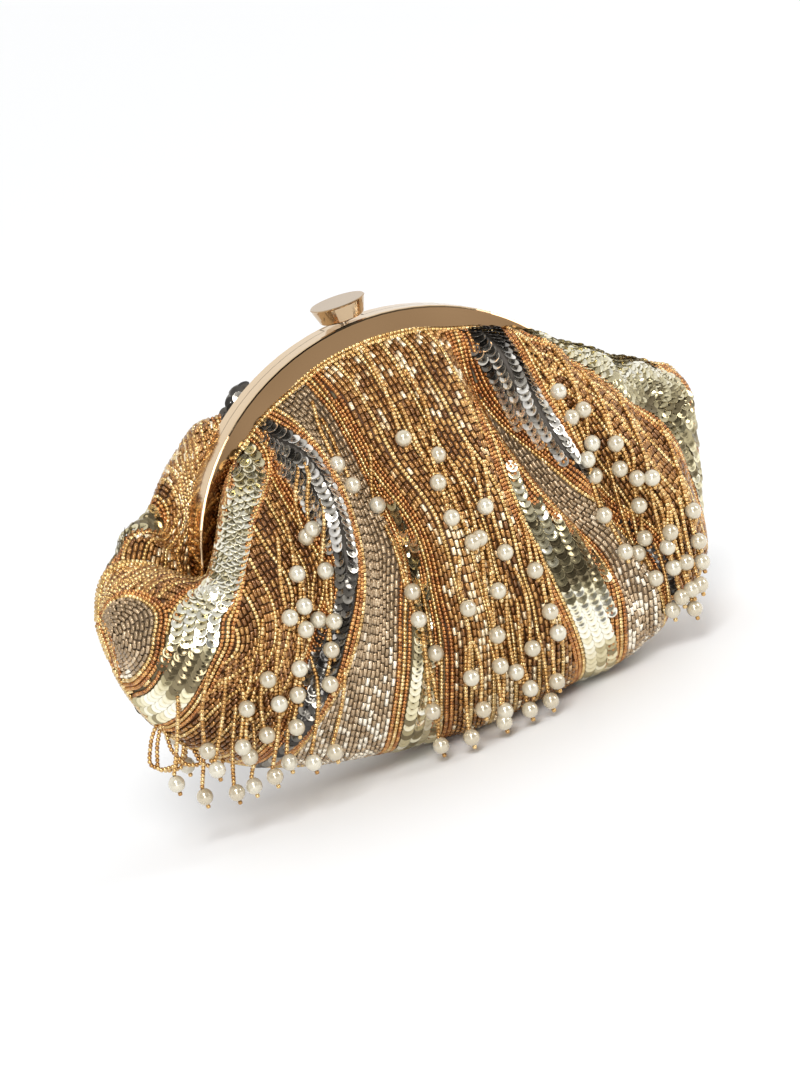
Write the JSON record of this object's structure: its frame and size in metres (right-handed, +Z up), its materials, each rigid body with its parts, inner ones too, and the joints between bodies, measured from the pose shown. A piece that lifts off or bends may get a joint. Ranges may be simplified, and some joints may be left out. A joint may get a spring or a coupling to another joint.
{
  "type": "evening bag",
  "caption": "Gathered, bead-covered evening pouch on an arched hinged metal frame, with a press-down drum knob and fringe strands that end in pearls.",
  "frame": {"origin": "on the surface that the bag stands on, under the middle of the pouch", "axes": "+X along the bag's width, -Y out of its front, +Z up from the base to the knob"},
  "size_m": [0.242, 0.0866, 0.1607],
  "materials": {
    "frame_metal": "polished champagne gold plate",
    "knob_metal": "polished champagne gold plate, lightly satin on the flat top",
    "fittings": "plated, dull",
    "beaded_panel": "covered in sequins, seed beads and bugle beads",
    "fringe": "strands of glass seed beads with pearls",
    "piping": "rolled edge covered in seed beads",
    "lining": "satin",
    "card": "stiff board",
    "hem_cord": "twisted paper cord"
  },
  "bodies": {
    "pouch": {"front_panel_lower": "beaded_panel", "rear_panel_lower": "beaded_panel", "lining_lower": "lining", "slip_pocket": "lining", "base_card": "card", "side_piping_left": "piping", "side_piping_right": "piping", "hinge_pin_left": "frame_metal", "hinge_pin_right": "frame_metal", "hinge_washer_left": "fittings", "hinge_washer_right": "fittings", "front_fringe_left": "fringe", "front_fringe_middle": "fringe", "front_fringe_right": "fringe", "rear_fringe_left": "fringe", "rear_fringe_middle": "fringe", "rear_fringe_right": "fringe"},
    "front_half": {"front_frame": "frame_metal", "front_panel_upper": "beaded_panel", "front_lining_upper": "lining", "front_cord_left": "hem_cord", "front_cord_right": "hem_cord", "clasp_housing": "fittings", "clasp_spring": "fittings"},
    "rear_half": {"rear_frame": "frame_metal", "rear_panel_upper": "beaded_panel", "rear_lining_upper": "lining", "rear_cord_left": "hem_cord", "rear_cord_right": "hem_cord", "catch_plate": "fittings"},
    "knob": {"clasp_knob": "knob_metal", "clasp_stem": "fittings", "latch_plate": "fittings", "stem_clip": "fittings"}
  },
  "joints": [
    {"name": "front_hinge", "type": "hinge", "parent": "pouch", "child": "front_half", "pos_m": [0, 0, 0.08], "axis": [1, 0, 0], "range_deg": [0, 30]},
    {"name": "rear_hinge", "type": "hinge", "parent": "pouch", "child": "rear_half", "pos_m": [0, 0, 0.08], "axis": [1, 0, 0], "range_deg": [-30, 0]},
    {"name": "knob_press", "type": "slide", "parent": "front_half", "child": "knob", "axis": [0, 0, 1], "range_m": [-0.0013, 0], "stiffness_N_per_m": 500, "springref_m": 0.004, "deforming": ["clasp_spring"]}
  ],
  "couplings": [
    {"joint": "rear_hinge", "follows": "front_hinge", "ratio": -1}
  ]
}
